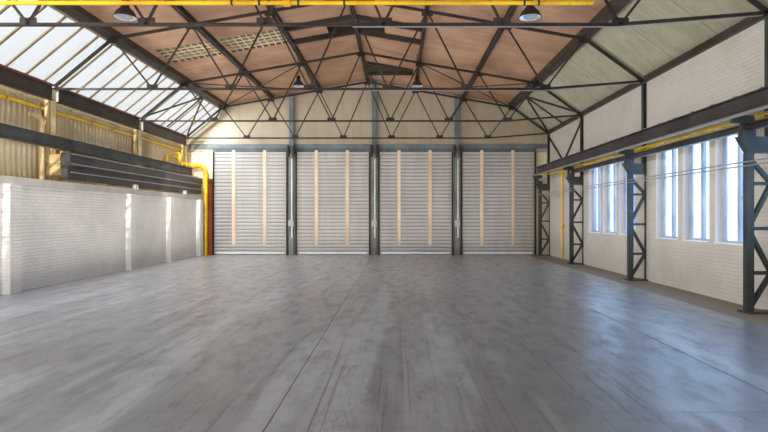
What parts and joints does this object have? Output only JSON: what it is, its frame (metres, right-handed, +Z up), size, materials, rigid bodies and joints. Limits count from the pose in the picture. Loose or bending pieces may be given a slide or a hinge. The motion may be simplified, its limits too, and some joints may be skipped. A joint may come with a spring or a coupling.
{
  "type": "factory building",
  "caption": "Steel-framed factory hall with lattice roof trusses, a glazed slope, crane beams, brick side walls and roller-shutter gables",
  "frame": {"origin": "centre of the underside of the bounding box, at ground level below the middle of the hall", "axes": "+Z up, +Y along the hall towards the gable with the closed shutters, +X towards the wall with the windows"},
  "size_m": [16.7, 30.54, 8.2875],
  "materials": {
    "concrete": "power-floated concrete, sealed, worn",
    "painted_brick": "off-white masonry paint over brick",
    "cladding": "beige coated profiled sheet",
    "steel_dark": "dark paint, worn",
    "steel_green": "dark green-grey paint",
    "steel_cream": "cream paint, yellowed",
    "steel_blue_grey": "light blue-grey paint",
    "galvanised": "galvanised sheet",
    "timber": "bare boards, browned",
    "pale_timber": "planed softwood",
    "felt": "mineral roofing felt",
    "roof_sheet": "grey-beige profiled sheet",
    "glass": "wired roof glass and window glass, dusty",
    "yellow_paint": "yellow gas-pipe paint",
    "red_paint": "dark red paint",
    "grey_plastic": "grey housing",
    "lamp_metal": "spun aluminium, dark outside"
  },
  "bodies": {
    "root": {"floor_slab": "concrete", "left_wall": "painted_brick", "right_wall": "painted_brick", "lining_wall": "painted_brick", "lining_piers": "painted_brick", "wall_band": "concrete", "left_cladding": "cladding", "cladding_rails": "steel_cream", "left_posts": "steel_cream", "left_brackets": "steel_cream", "left_crane_girder": "steel_dark", "left_eaves_girder": "steel_dark", "wall_housing": "steel_dark", "window_frames": "steel_blue_grey", "window_panes": "glass", "right_columns": "steel_green", "right_brackets": "steel_green", "right_upper_columns": "steel_green", "right_crane_girder": "steel_dark", "right_lower_beam": "steel_dark", "roof_trusses": "steel_dark", "roof_purlins": "steel_dark", "knee_purlins": "steel_dark", "right_eaves_purlins": "steel_dark", "vent_trimmers": "steel_dark", "left_roof_boards": "timber", "right_roof_boards": "timber", "left_roof_covering": "felt", "right_roof_covering": "felt", "roof_light_frame": "galvanised", "roof_light_pane": "glass", "roof_hatch": "galvanised", "ridge_vent": "galvanised", "slope_sheets": "roof_sheet", "glazing_bars": "steel_cream", "glazing_panes": "glass", "bracing": "steel_dark", "gable_piers": "cladding", "gable_walls": "cladding", "gable_columns": "steel_blue_grey", "shutter_curtains": "galvanised", "shutter_guides": "steel_dark", "shutter_hoods": "galvanised", "door_lintels": "steel_dark", "lintel_flashing": "steel_blue_grey", "shutter_boards": "pale_timber", "shutter_drives": "steel_dark", "control_boxes": "grey_plastic", "gas_pipes": "yellow_paint", "gas_pipe_drops": "yellow_paint", "red_pipe_stand": "red_paint", "girder_pipe_run": "galvanised", "conduits": "galvanised", "lamps": "lamp_metal"}
  },
  "joints": []
}
